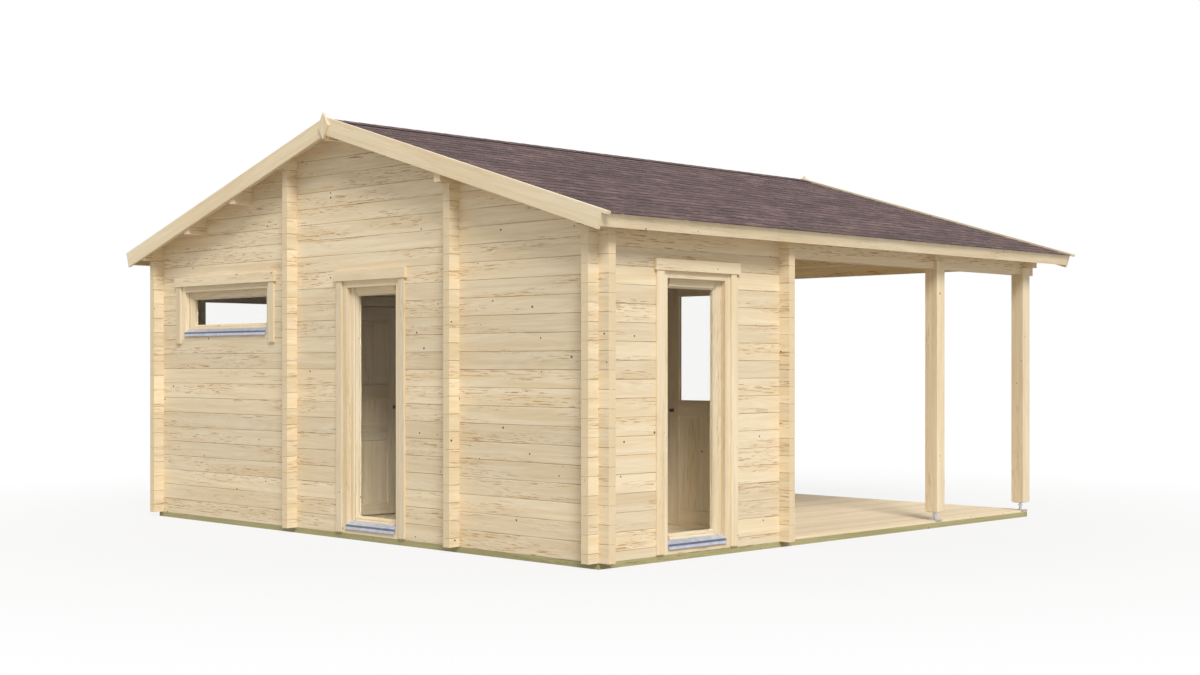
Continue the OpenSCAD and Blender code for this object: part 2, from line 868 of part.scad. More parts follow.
cross_joists();
rim_joists();
cabin_floor();
terrace_deck();
window_gable_wall();
near_eave_wall();
far_eave_wall();
terrace_wall_near();
terrace_wall_over_door();
terrace_wall_far();
sauna_partition_front();
sauna_partition_over_door();
sauna_partition_back();
vestibule_partition_front();
vestibule_partition_over_door();
vestibule_partition_back();
end_gable();
eave_beams();
wall_plates();
cross_tie();
purlins();
terrace_posts();
post_bases();
near_roof_boards();
far_roof_boards();
near_shingles();
far_shingles();
ridge_cap();
fascia_boards();
near_barge_boards();
far_barge_boards();
barge_battens();
finials();
window_frames();
window_sashes();
window_panes();
window_sills();
opening_casings();
door_frames();
frame_hinges();
entrance_leaf();
entrance_pane();
entrance_fittings();
sauna_leaf();
sauna_fittings();
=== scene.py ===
"""Looks of the log sauna cabin: procedural spruce, shingles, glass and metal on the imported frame.

Everything is in metres in the frame's own axes: +X along the ridge towards the terrace, +Z up.
"""

import math
import random

import bmesh
import bpy
from mathutils import Matrix, Vector


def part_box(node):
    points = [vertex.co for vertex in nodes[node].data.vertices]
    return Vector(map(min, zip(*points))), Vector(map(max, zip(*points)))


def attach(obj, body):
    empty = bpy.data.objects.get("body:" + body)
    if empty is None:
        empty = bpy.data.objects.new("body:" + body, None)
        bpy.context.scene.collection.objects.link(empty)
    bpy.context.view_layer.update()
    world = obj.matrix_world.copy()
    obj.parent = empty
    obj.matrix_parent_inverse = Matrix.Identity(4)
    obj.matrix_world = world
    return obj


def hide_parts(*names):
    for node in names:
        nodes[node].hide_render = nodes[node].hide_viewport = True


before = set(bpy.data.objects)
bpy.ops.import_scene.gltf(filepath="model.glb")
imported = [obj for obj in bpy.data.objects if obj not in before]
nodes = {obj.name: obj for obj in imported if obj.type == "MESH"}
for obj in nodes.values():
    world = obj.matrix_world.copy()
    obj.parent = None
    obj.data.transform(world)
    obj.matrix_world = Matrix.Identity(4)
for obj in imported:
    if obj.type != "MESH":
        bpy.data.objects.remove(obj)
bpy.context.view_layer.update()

# ---------- Sizes that the frame's boxes don't give by themselves ----------

LOG_H = 0.134
PITCH = math.radians(16.8)
BOARD_T = 0.020

# Window unit: frame member, its rebate, the sash and the glass behind the wall's face
FRAME_W = 0.075
REBATE = 0.012
SASH_W = 0.080
SASH_IN = 0.042
PANE_IN = 0.082
CASING_W = 0.075
CASING_T = 0.020
HEAD_H = 0.085
HEAD_T = 0.028
EAR = 0.020
COVER = 0.022

# Door unit
JAMB = 0.045
GAP = 0.005
LOCK_GAP = 0.008
SILL_H = 0.050
STOP = 0.012
STOP_IN = 0.035
LEAF_OUT = 0.010
STILE = 0.120
PANEL_IN = 0.010

COS, SIN = math.cos(PITCH), math.sin(PITCH)
BASE_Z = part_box("near_eave_wall")[0].z
X, Y, Z = Vector((1, 0, 0)), Vector((0, 1, 0)), Vector((0, 0, 1))


# ---------- Mesh building ----------

class Pieces:
    """Collects closed solids into one mesh, and keeps for each its own grain coordinates and tone."""

    def __init__(self, seed):
        self.random = random.Random(seed)
        self.points, self.faces = [], []
        self.grain, self.tone, self.ends = [], [], []

    def loft(self, low, high, grain, place=None):
        """A solid between two outlines of as many points, with the grain along a direction."""
        side = Vector(grain).orthogonal().normalized()
        across = Vector(grain).cross(side)
        offset = Vector([self.random.uniform(0, 40) for _ in range(3)])
        tone = self.random.random()
        first, count = len(self.points), len(low)
        for p in [Vector(q) for q in low] + [Vector(q) for q in high]:
            self.grain.append(offset + Vector((p.dot(grain), p.dot(side), p.dot(across))))
            self.tone.append(tone)
            self.points.append(place @ p if place else p)
        rings = [list(range(count)), list(range(2 * count - 1, count - 1, -1))]
        rings += [[i, (i + 1) % count, (i + 1) % count + count, i + count] for i in range(count)]
        turned = (place.to_3x3() @ Vector(grain)) if place else Vector(grain)
        for ring in rings:
            corners = [self.points[first + i] for i in ring]
            normal = newell(corners)
            self.faces.append([first + i for i in ring])
            self.ends.append(1.0 if abs(normal.dot(turned)) > 0.8 else 0.0)

    def prism(self, outline, shift, grain, place=None):
        self.loft(outline, [Vector(p) + Vector(shift) for p in outline], grain, place)

    def box(self, lo, hi, grain, place=None):
        base = [(lo[0], lo[1], lo[2]), (hi[0], lo[1], lo[2]), (hi[0], hi[1], lo[2]), (lo[0], hi[1], lo[2])]
        self.prism(base, (0, 0, hi[2] - lo[2]), grain, place)

    def make(self, name, material, body, slot, stands_for=(), bevel=0.0015):
        mesh = bpy.data.meshes.new(name)
        mesh.from_pydata([tuple(p) for p in self.points], [], self.faces)
        bm = bmesh.new()
        bm.from_mesh(mesh)
        bmesh.ops.recalc_face_normals(bm, faces=bm.faces)
        bm.to_mesh(mesh)
        bm.free()
        grain = mesh.attributes.new("grain", "FLOAT_VECTOR", "POINT")
        grain.data.foreach_set("vector", [c for g in self.grain for c in g])
        mesh.attributes.new("tone", "FLOAT", "POINT").data.foreach_set("value", self.tone)
        mesh.attributes.new("end_grain", "FLOAT", "FACE").data.foreach_set("value", self.ends)
        mesh.materials.append(material)
        piece = bpy.data.objects.new(name, mesh)
        bpy.context.scene.collection.objects.link(piece)
        if bevel:
            soften(piece, bevel)
        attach(piece, body)
        if stands_for:
            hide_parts(*stands_for)
        return piece


def newell(corners):
    normal = Vector()
    for a, b in zip(corners, corners[1:] + corners[:1]):
        normal += a.cross(b)
    return normal.normalized()


def soften(piece, width, segments=2):
    """Rounds a piece's edges a little, as a plane or a press leaves them."""
    bevel = piece.modifiers.new("soft edges", "BEVEL")
    bevel.width = width
    bevel.segments = segments
    bevel.limit_method = "ANGLE"
    bevel.angle_limit = math.radians(30)


def corners_of(points):
    low = Vector([min(p[i] for p in points) for i in range(3)])
    high = Vector([max(p[i] for p in points) for i in range(3)])
    return low, high


def solids(node):
    """The boxes of a CAD node's separate solids, as (lowest, highest) corners."""
    mesh = nodes[node].data
    parent = {}

    def find(key):
        while parent[key] != key:
            key = parent[key]
        return key

    def key_of(index):
        return tuple(round(c * 5000) for c in mesh.vertices[index].co)

    for polygon in mesh.polygons:
        keys = [key_of(i) for i in polygon.vertices]
        for key in keys:
            parent.setdefault(key, key)
        for key in keys[1:]:
            parent[find(keys[0])] = find(key)
    groups = {}
    for vertex in mesh.vertices:
        key = key_of(vertex.index)
        if key in parent:
            groups.setdefault(find(key), []).append(vertex.co)
    return [corners_of(group) for group in groups.values()]


def facing(origin, into):
    """Places local x across, y into the wall and z up, at a point on the wall's face."""
    into = Vector(into)
    across = into.cross(Z)
    turn = Matrix((across, into, Z)).transposed().to_4x4()
    return Matrix.Translation(origin) @ turn


# ---------- Materials ----------

class Graph:
    """Short names for the shader nodes that the materials below use."""

    def __init__(self, name):
        self.material = bpy.data.materials.new(name)
        self.material.use_nodes = True
        self.tree = self.material.node_tree
        self.shader = self.tree.nodes["Principled BSDF"]
        self.output = self.tree.nodes["Material Output"]

    def node(self, kind, inputs=(), **settings):
        made = self.tree.nodes.new("ShaderNode" + kind)
        for key, value in settings.items():
            setattr(made, key, value)
        for key, value in dict(inputs).items():
            self.feed(made.inputs[key], value)
        return made

    def feed(self, socket, value):
        if isinstance(value, bpy.types.NodeSocket):
            self.tree.links.new(value, socket)
        else:
            socket.default_value = value

    def math(self, operation, a, b=0.0, c=0.0, clamp=False):
        made = self.node("Math", {0: a, 1: b, 2: c}, operation=operation, use_clamp=clamp)
        return made.outputs[0]

    def attribute(self, name, output):
        return self.node("Attribute", attribute_name=name).outputs[output]

    def split(self, vector):
        return self.node("SeparateXYZ", {0: vector}).outputs

    def join(self, x, y, z):
        return self.node("CombineXYZ", {0: x, 1: y, 2: z}).outputs[0]

    def dot(self, vector, direction):
        made = self.node("VectorMath", {0: vector, 1: tuple(direction)}, operation="DOT_PRODUCT")
        return made.outputs["Value"]

    def scaled(self, vector, factors):
        made = self.node("VectorMath", {0: vector, 1: tuple(factors)}, operation="MULTIPLY")
        return made.outputs[0]

    def noise(self, vector, scale=1.0, detail=2.0, roughness=0.5, distortion=0.0):
        made = self.node("TexNoise", {"Vector": vector, "Scale": scale, "Detail": detail,
                                      "Roughness": roughness, "Distortion": distortion})
        return made.outputs[0]

    def step(self, value, lo, hi, out_lo=0.0, out_hi=1.0):
        made = self.node("MapRange", {"Value": value, "From Min": lo, "From Max": hi,
                                      "To Min": out_lo, "To Max": out_hi},
                         interpolation_type="SMOOTHSTEP")
        return made.outputs[0]

    def mix(self, factor, a, b, blend="MIX"):
        made = self.node("Mix", {"Factor": factor}, data_type="RGBA", blend_type=blend)
        for index, value in ((6, a), (7, b)):
            if not isinstance(value, bpy.types.NodeSocket):
                value = (*value, 1.0)
            self.feed(made.inputs[index], value)
        return made.outputs[2]

    def random_of(self, vector):
        return self.node("TexWhiteNoise", {"Vector": vector}, noise_dimensions="3D").outputs["Value"]

    def bump(self, height, strength, distance):
        made = self.node("Bump", {"Height": height, "Strength": strength, "Distance": distance})
        self.feed(self.shader.inputs["Normal"], made.outputs[0])

    def surface(self, colour=None, roughness=None, metallic=0.0):
        if colour is not None:
            self.feed(self.shader.inputs["Base Color"],
                      colour if isinstance(colour, bpy.types.NodeSocket) else (*colour, 1.0))
        if roughness is not None:
            self.feed(self.shader.inputs["Roughness"], roughness)
        self.shader.inputs["Metallic"].default_value = metallic
        return self.material


# Softwood: one knot at most per cell, and how strongly the brown dashes show
KNOT_CELL = 0.108
KNOT_RADIUS = 0.0105
KNOT_COLOUR = (0.105, 0.045, 0.020)
DASH_SHARE = 0.85
GRAIN_BUMP = 0.35
GRAIN_DEPTH = 0.0006

SPRUCE = dict(pale=(0.86, 0.745, 0.545), deep=(0.745, 0.585, 0.355), dash=(0.43, 0.225, 0.075))
TREATED = dict(pale=(0.47, 0.43, 0.22), deep=(0.33, 0.30, 0.13), dash=(0.20, 0.16, 0.06))


def wood(g, at, tone, end, pale, deep, dash, dashes=1.0, knots=1.0):
    """Colour and relief of softwood. at has the grain along its x, in metres."""
    figure = g.noise(g.scaled(at, (0.9, 17, 17)), detail=3, distortion=0.6)
    contour = g.noise(g.scaled(at, (0.55, 6.5, 6.5)), detail=1)
    rings = g.math("SINE", g.math("MULTIPLY", contour, 95))
    fibre = g.noise(g.scaled(at, (7, 380, 380)), detail=2)
    streak = g.noise(g.scaled(at, (2.2, 90, 90)), detail=2)

    cell = g.node("TexVoronoi", {"Vector": at, "Scale": 1 / KNOT_CELL})
    reach = g.math("MULTIPLY", cell.outputs["Distance"], KNOT_CELL)
    pick = g.split(cell.outputs["Color"])
    size = g.math("MULTIPLY", g.step(pick[0], 0.25, 1.0, 0.0, 1.0), KNOT_RADIUS * knots)
    rim = g.math("SUBTRACT", reach, size)
    core = g.math("MULTIPLY", g.step(rim, -0.0015, 0.0015, 1, 0), g.step(pick[0], 0.25, 0.35))
    halo = g.math("MULTIPLY", g.step(rim, 0.0, 0.012, 1, 0), g.step(pick[0], 0.25, 0.35))

    where = g.noise(g.scaled(at, (0.8, 9, 9)), detail=1)
    marks = g.noise(g.scaled(at, (7, 160, 160)), detail=2, distortion=0.5)
    marked = g.math("MULTIPLY", g.step(where, 0.47, 0.60), g.step(marks, 0.575, 0.635))

    colour = g.mix(g.step(figure, 0.30, 0.75, 0.0, 0.75), pale, deep)
    colour = g.mix(g.step(streak, 0.52, 0.80, 0.0, 0.5), colour, deep)
    light = g.math("MULTIPLY_ADD", rings, 0.022, g.step(tone, 0.0, 1.0, 0.90, 1.05))
    light = g.math("MULTIPLY_ADD", g.math("SUBTRACT", fibre, 0.5), 0.16, light)
    colour = g.mix(1.0, colour, g.join(light, light, light), "MULTIPLY")
    colour = g.mix(g.math("MULTIPLY", marked, DASH_SHARE * dashes), colour, dash)
    colour = g.mix(g.math("MULTIPLY", halo, 0.40), colour, pale)
    colour = g.mix(g.math("MULTIPLY", core, 0.92), colour, KNOT_COLOUR)
    pores = g.noise(g.scaled(at, (260, 260, 260)), detail=1)
    ends = g.mix(g.step(pores, 0.35, 0.7, 0.0, 0.6), deep, pale)
    colour = g.mix(g.math("MULTIPLY", end, 0.75), colour, ends)
    height = g.math("MULTIPLY_ADD", rings, 0.12, fibre)
    height = g.math("MULTIPLY_ADD", marked, -0.6, height)
    height = g.math("MULTIPLY_ADD", core, -0.5, height)
    return colour, height, g.step(figure, 0.2, 0.8, 0.70, 0.56)


def timber_material(name, tones, **extra):
    """Wood that follows each board's own grain coordinates."""
    g = Graph(name)
    colour, height, rough = wood(g, g.attribute("grain", "Vector"), g.attribute("tone", "Fac"),
                                 g.attribute("end_grain", "Fac"), **tones, **extra)
    g.bump(height, GRAIN_BUMP, GRAIN_DEPTH)
    return g.surface(colour, rough)


def solid_material(name, tones, along, fold=False, courses=None, **extra):
    """Wood for a carried-over node: grain along a direction, a new log or board in every course."""
    g = Graph(name)
    coordinates = g.node("TexCoord")
    at, normal = coordinates.outputs["Object"], coordinates.outputs["Normal"]
    if fold:
        at = folded(g, at)
        normal = folded(g, normal)
    along = Vector(along).normalized()
    side = along.orthogonal().normalized()
    across = along.cross(side)
    z = g.split(at)[2]
    end = g.step(g.math("ABSOLUTE", g.dot(normal, along)), 0.6, 0.8)
    u, v, w = g.dot(at, along), g.dot(at, side), g.dot(at, across)
    strip = g.math("FLOOR", g.math("MULTIPLY", v, 1.7))
    block = g.math("FLOOR", g.math("MULTIPLY", w, 0.9))
    cell = g.join(strip, block, 0.5)
    if courses is not None:
        level = g.math("ADD", g.math("DIVIDE", g.math("SUBTRACT", z, BASE_Z), LOG_H), courses + 40.0)
        number = g.math("FLOOR", level)
        cell = g.join(number, g.math("FLOOR", g.math("MULTIPLY", g.dot(at, along.cross(Z)), 3.0)), 0.5)
    tone = g.random_of(cell)
    shifted = g.join(g.math("MULTIPLY_ADD", tone, 31.0, u), g.math("MULTIPLY_ADD", tone, 3.0, v), w)
    colour, height, rough = wood(g, shifted, tone, end, **tones, **extra)
    if courses is not None:
        # Painted shade in the joints between courses: within about 3 mm of a joint the colour darkens, more
        # in blue than in red, and less where the seam noise runs high.
        part = g.math("SUBTRACT", level, number)
        edge = g.math("MULTIPLY", g.math("MINIMUM", part, g.math("SUBTRACT", 1.0, part)), LOG_H)
        seam = g.noise(g.scaled(shifted, (2.5, 40, 40)), detail=2)
        faint = g.step(seam, 0.35, 0.65, 0.50, 0.92)
        shade = g.step(edge, 0.0006, 0.0034, 0.0, 1.0)
        shade = g.math("MULTIPLY_ADD", shade, g.math("SUBTRACT", 1.0, faint), faint)
        colour = g.mix(1.0, colour, g.join(shade, g.math("POWER", shade, 1.15), g.math("POWER", shade, 1.4)),
                       "MULTIPLY")
    g.bump(height, GRAIN_BUMP, GRAIN_DEPTH)
    return g.surface(colour, rough)


def folded(g, vector):
    """The near slope's copy of a point on either slope."""
    x, y, z = g.split(vector)[0:3]
    return g.join(x, g.math("MULTIPLY", g.math("ABSOLUTE", y), -1.0), z)


def shingle_material():
    """Mineral granules on bitumen: dark plum brown with paler flecks stretched along the strips."""
    g = Graph("roof shingle")
    at, tone = g.attribute("grain", "Vector"), g.attribute("tone", "Fac")
    granule = g.noise(g.scaled(at, (420, 420, 420)), detail=2, roughness=0.8)
    fleck = g.noise(g.scaled(at, (7, 42, 42)), detail=4, roughness=0.65)
    patch = g.noise(g.scaled(at, (2.5, 6, 6)), detail=2)
    colour = g.mix(g.step(patch, 0.35, 0.65), (0.062, 0.034, 0.035), (0.110, 0.064, 0.062))
    colour = g.mix(g.step(fleck, 0.53, 0.66, 0.0, 0.85), colour, (0.290, 0.195, 0.185))
    light = g.math("ADD", g.step(tone, 0.0, 1.0, 0.72, 1.18), g.step(granule, 0.3, 0.7, -0.22, 0.22))
    colour = g.mix(1.0, colour, g.join(light, light, light), "MULTIPLY")
    g.bump(granule, 0.6, 0.0012)
    return g.surface(colour, g.step(granule, 0.2, 0.8, 0.95, 0.78))


def metal_material(name, colour, rough, stretch, metallic=1.0, depth=0.0002):
    g = Graph(name)
    at = g.node("TexCoord").outputs["Object"]
    brush = g.noise(g.scaled(at, stretch), detail=3)
    blot = g.noise(at, scale=22, detail=3)
    tint = g.step(blot, 0.3, 0.7, 0.86, 1.08)
    shade = g.mix(1.0, colour, g.join(tint, tint, tint), "MULTIPLY")
    g.bump(brush, 0.25, depth)
    return g.surface(shade, g.step(brush, 0.25, 0.75, rough - 0.07, rough + 0.07), metallic)


def glass_material():
    """Clear glazing that lets lamps through, with a faint ripple."""
    g = Graph("window glass")
    g.shader.inputs["Transmission Weight"].default_value = 1.0
    g.shader.inputs["IOR"].default_value = 1.12
    g.surface((0.96, 0.96, 0.95), 0.0)
    ripple = g.noise(g.node("TexCoord").outputs["Object"], scale=3, detail=1)
    g.bump(ripple, 0.02, 0.002)
    clear = g.node("BsdfTransparent", {"Color": (0.93, 0.95, 0.95, 1.0)})
    light = g.node("LightPath")
    blend = g.node("MixShader", {0: light.outputs["Is Shadow Ray"], 1: g.shader.outputs[0],
                                 2: clear.outputs[0]})
    g.feed(g.output.inputs["Surface"], blend.outputs[0])
    return g.material


def paint(node, material):
    slots = nodes[node].data.materials
    slots.clear()
    slots.append(material)


log_boards = timber_material("planed spruce", SPRUCE, dashes=0.55)
floor_boards = timber_material("floor spruce", SPRUCE, dashes=0.25, knots=0.6)
shingles = shingle_material()
glass = glass_material()
aluminium = metal_material("sill aluminium", (0.56, 0.60, 0.72), 0.42, (3, 180, 180), metallic=0.35)
# Painted shade: a dark blue-grey for the strip laid in each window sill's groove.
groove_shade = metal_material("sill groove shade", (0.13, 0.155, 0.215), 0.45, (6, 300, 300), metallic=0.3)
zinc = metal_material("galvanised steel", (0.62, 0.64, 0.66), 0.42, (30, 30, 30))
bronze = metal_material("dark bronze", (0.13, 0.115, 0.105), 0.38, (200, 40, 40))

# ---------- Logs, posts and joists that the CAD draws ----------

CROSS_WALLS = ("window_gable_wall", "terrace_wall_near", "terrace_wall_over_door", "terrace_wall_far",
               "end_gable", "cross_tie")
LONG_WALLS = ("near_eave_wall", "far_eave_wall", "sauna_partition_front", "sauna_partition_over_door",
              "sauna_partition_back", "vestibule_partition_front", "vestibule_partition_over_door",
              "vestibule_partition_back", "eave_beams", "wall_plates", "purlins")

cross_logs = solid_material("cross logs", SPRUCE, Y, courses=0.0)
long_logs = solid_material("long logs", SPRUCE, X, courses=0.5)
for name in CROSS_WALLS:
    paint(name, cross_logs)
for name in LONG_WALLS:
    paint(name, long_logs)
paint("terrace_posts", solid_material("post spruce", SPRUCE, Z, dashes=0.5))
paint("cross_joists", solid_material("treated cross joists", TREATED, Y))
paint("rim_joists", solid_material("treated rim joists", TREATED, X))
paint("post_bases", zinc)
for name in ("window_panes", "entrance_pane"):
    paint(name, glass)
for name in ("frame_hinges", "entrance_fittings", "sauna_fittings"):
    paint(name, bronze)
soften(nodes["terrace_posts"], 0.005)
soften(nodes["post_bases"], 0.001)
soften(nodes["entrance_fittings"], 0.002, 3)
soften(nodes["sauna_fittings"], 0.002, 3)

slope = Vector((0, -COS, -SIN))
roof_trim = solid_material("roof trim", SPRUCE, slope, fold=True, dashes=0.4, knots=0.7)
for name in ("near_barge_boards", "far_barge_boards", "barge_battens"):
    paint(name, roof_trim)
    soften(nodes[name], 0.002)
paint("fascia_boards", solid_material("fascia spruce", SPRUCE, X, dashes=0.4, knots=0.7))
soften(nodes["fascia_boards"], 0.002)
paint("finials", solid_material("finial spruce", SPRUCE, Z, dashes=0.3, knots=0.5))
soften(nodes["finials"], 0.006, 1)

# ---------- Roof ----------

skin_lo, skin_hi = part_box("near_shingles")
boards_lo, boards_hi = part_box("near_roof_boards")
RIDGE_Z = boards_hi.z - BOARD_T / COS


def on_slope(x, run, rise, side):
    """A point on a slope: run down from the ridge, rise square to it; side is -1 on the near slope."""
    return Vector((x, side * (run * COS + rise * SIN), RIDGE_Z - run * SIN + rise * COS))


BOARD_W = 0.096
JOINT = 0.001
CHAMFER = 0.003
board_run = (RIDGE_Z - boards_lo.z) / SIN


def build_roof_boards(side, name, node):
    """Boards that run down the slope, with a chamfer along both lower edges."""
    boards = Pieces(11 + side)
    count = round((boards_hi.x - boards_lo.x) / BOARD_W)
    width = (boards_hi.x - boards_lo.x) / count
    for i in range(count):
        a = boards_lo.x + i * width + JOINT / 2
        b = boards_lo.x + (i + 1) * width - JOINT / 2
        outline = [(a, CHAMFER), (a + CHAMFER, 0), (b - CHAMFER, 0), (b, CHAMFER),
                   (b, BOARD_T), (a, BOARD_T)]
        top = [on_slope(x, 0, rise, side) for x, rise in outline]
        foot = [on_slope(x, board_run, rise, side) for x, rise in outline]
        boards.loft(top, foot, Vector((0, side * COS, -SIN)))
    boards.make(name, log_boards, "cabin", "planed_spruce", (node,), bevel=0)


build_roof_boards(-1, "near_boarding", "near_roof_boards")
build_roof_boards(1, "far_boarding", "far_roof_boards")

EXPOSURE = 0.145
TAB_W = 0.333
TAB_GAP = 0.005
TAB_L = 0.310
TAB_T = 0.0028
SKIN_T = 0.009
drip_run = (RIDGE_Z + BOARD_T * COS - skin_lo.z) / SIN


def build_shingles(side, name, node):
    """Rows of tabs laid from the drip edge up, each row over the heads of the one below."""
    rows = Pieces(21 + side)
    low = BOARD_T + 0.0001
    underlay = [on_slope(x, 0.01, low, side) for x in (skin_lo.x + 0.004, skin_hi.x - 0.004)]
    underlay += [on_slope(x, drip_run - 0.03, low, side) for x in (skin_hi.x - 0.004, skin_lo.x + 0.004)]
    rows.loft(underlay, [p + Vector((0, 0, 0.0003)) for p in underlay], X)
    top_rise = BOARD_T + SKIN_T
    fall = (SKIN_T - TAB_T - 0.0002) / TAB_L
    count = math.ceil(drip_run / EXPOSURE)
    for row in range(count):
        run_lo = drip_run - row * EXPOSURE
        run_hi = max(run_lo - TAB_L, 0.0)
        head = top_rise - fall * (run_lo - run_hi)
        x = skin_lo.x - TAB_W * rows.random.choice((0.17, 0.5, 0.83))
        while x < skin_hi.x:
            a, b = max(x, skin_lo.x), min(x + TAB_W - TAB_GAP, skin_hi.x)
            x += TAB_W
            if b - a < 0.01:
                continue
            foot = run_lo - rows.random.uniform(0.0, 0.004)
            low_end = [on_slope(a, foot, top_rise - TAB_T, side), on_slope(b, foot, top_rise - TAB_T, side),
                       on_slope(b, foot, top_rise, side), on_slope(a, foot, top_rise, side)]
            high_end = [on_slope(a, run_hi, head - TAB_T, side), on_slope(b, run_hi, head - TAB_T, side),
                        on_slope(b, run_hi, head, side), on_slope(a, run_hi, head, side)]
            rows.loft(low_end, high_end, X)
    rows.make(name, shingles, "cabin", "roof_shingle", (node,), bevel=0)


build_shingles(-1, "near_shingle_rows", "near_shingles")
build_shingles(1, "far_shingle_rows", "far_shingles")

CAP_RUN = 0.125
CAP_T = 0.006
CAP_STEP = 0.150


def build_ridge_cap():
    """Bent tabs over the ridge, each lapping the next one's tail."""
    caps = Pieces(31)
    base = BOARD_T + SKIN_T

    def section(x, low, high):
        points = [on_slope(x, CAP_RUN, low, -1), Vector((x, 0, RIDGE_Z + low / COS)),
                  on_slope(x, CAP_RUN, low, 1), on_slope(x, CAP_RUN, high, 1),
                  Vector((x, 0, RIDGE_Z + high / COS)), on_slope(x, CAP_RUN, high, -1)]
        return points

    count = round((skin_hi.x - skin_lo.x) / CAP_STEP)
    step = (skin_hi.x - skin_lo.x) / count
    for i in range(count):
        x = skin_lo.x + i * step
        end = min(x + 1.9 * step, skin_hi.x)
        head = section(x, base + CAP_T / 2, base + CAP_T)
        tail = section(end, base, base + CAP_T / 2 - 0.0002)
        caps.loft(head, tail, X)
    caps.make("ridge_cap_tabs", shingles, "cabin", "roof_shingle", ("ridge_cap",), bevel=0)


build_ridge_cap()

# ---------- Floors ----------

FLOOR_W = 0.119
deck_lo, deck_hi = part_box("terrace_deck")


def board_outline(lo, hi, a, b, holes):
    """Outline of one floor board in plan, notched where a hole meets either of its ends."""
    outline = []
    cuts = [a] + sorted(y for h in holes for y in (h[0].y, h[1].y) if a < y < b) + [b]
    spans = list(zip(cuts, cuts[1:]))

    def end(y0, y1, low):
        middle = (y0 + y1) / 2
        x = lo.x if low else hi.x
        for h in holes:
            if h[0].y < middle < h[1].y:
                if low and h[0].x <= lo.x + 1e-6:
                    x = max(x, h[1].x)
                if not low and h[1].x >= hi.x - 1e-6:
                    x = min(x, h[0].x)
        return x

    for y0, y1 in spans:
        outline += [(end(y0, y1, False), y0), (end(y0, y1, False), y1)]
    for y0, y1 in reversed(spans):
        outline += [(end(y0, y1, True), y1), (end(y0, y1, True), y0)]
    tidy = []
    for p in outline:
        if not tidy or (abs(p[0] - tidy[-1][0]) > 1e-6 or abs(p[1] - tidy[-1][1]) > 1e-6):
            tidy.append(p)
    return tidy


def build_floor(name, node, areas, holes, seed):
    boards = Pieces(seed)
    for lo, hi in areas:
        count = round((hi.y - lo.y) / FLOOR_W)
        width = (hi.y - lo.y) / count
        for i in range(count):
            a, b = lo.y + i * width + JOINT / 2, lo.y + (i + 1) * width - JOINT / 2
            outline = board_outline(lo, hi, a, b, holes)
            boards.prism([(x, y, lo.z) for x, y in outline], (0, 0, hi.z - lo.z), X)
    boards.make(name, floor_boards, "cabin", "planed_spruce", (node,), bevel=0.001)


def log_end_holes():
    """Where the ends of the long logs stand on the deck."""
    found = []
    for node in ("near_eave_wall", "far_eave_wall", "sauna_partition_back", "vestibule_partition_back"):
        lo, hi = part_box(node)
        found.append((Vector((deck_lo.x, lo.y, 0)), Vector((hi.x, hi.y, 1))))
    return found


def frame_holes():
    """Where the frames of tall windows and doors stand in a room's floor."""
    frames = solids("window_frames") + solids("door_frames")
    return [(lo, hi) for lo, hi in frames if lo.z < BASE_Z + 0.05]


build_floor("deck_boards", "terrace_deck", [(deck_lo, deck_hi)], log_end_holes(), 41)
build_floor("room_floors", "cabin_floor", solids("cabin_floor"), frame_holes(), 42)

# ---------- Windows ----------


def window_places():
    """(place, width, height) of each window's opening, from its frame's box."""
    found = []
    for lo, hi in solids("window_frames"):
        size = hi - lo
        if size.x < size.y and lo.x < 0:
            found.append((facing((lo.x, (lo.y + hi.y) / 2, lo.z), X), size.y, size.z))
        elif lo.y < 0:
            found.append((facing(((lo.x + hi.x) / 2, lo.y, lo.z), Y), size.x, size.z))
        else:
            found.append((facing(((lo.x + hi.x) / 2, hi.y, lo.z), -Y), size.x, size.z))
    return found


FRAME_D = 0.100
SASH_BACK = 0.098
windows = window_places()


def surround(target, w, h, stile, rail, place):
    """Four members round a w by h hole: stile and rail are outlines of (inward, depth) points."""
    for side in (-1, 1):
        target.prism([(side * (w / 2 - a), d, 0) for a, d in stile], (0, 0, h), Z, place)
    inner = w / 2 - max(a for a, d in stile)
    for low in (True, False):
        outline = [(-inner, d, a if low else h - a) for a, d in rail]
        target.prism(outline, (2 * inner, 0, 0), X, place)


def build_window_frames():
    frames = Pieces(51)
    outline = [(0, 0), (FRAME_W, 0), (FRAME_W, SASH_IN), (FRAME_W - REBATE, SASH_IN),
               (FRAME_W - REBATE, FRAME_D), (0, FRAME_D)]
    for place, w, h in windows:
        surround(frames, w, h, outline, outline, place)
    frames.make("window_frame_members", log_boards, "cabin", "planed_spruce", ("window_frames",),
                bevel=0.003)


def build_sashes():
    sashes = Pieces(52)
    step = 0.009
    outline = [(0, SASH_IN), (0.046, SASH_IN), (0.050, SASH_IN + step), (SASH_W - 0.014, SASH_IN + step),
               (SASH_W, PANE_IN - 0.012), (SASH_W, SASH_BACK), (0, SASH_BACK)]
    for place, w, h in windows:
        inset = FRAME_W - REBATE
        raised = place @ Matrix.Translation((0, 0, inset))
        surround(sashes, w - 2 * inset, h - 2 * inset, outline, outline, raised)
    sashes.make("window_sash_members", log_boards, "cabin", "planed_spruce", ("window_sashes",),
                bevel=0.002)


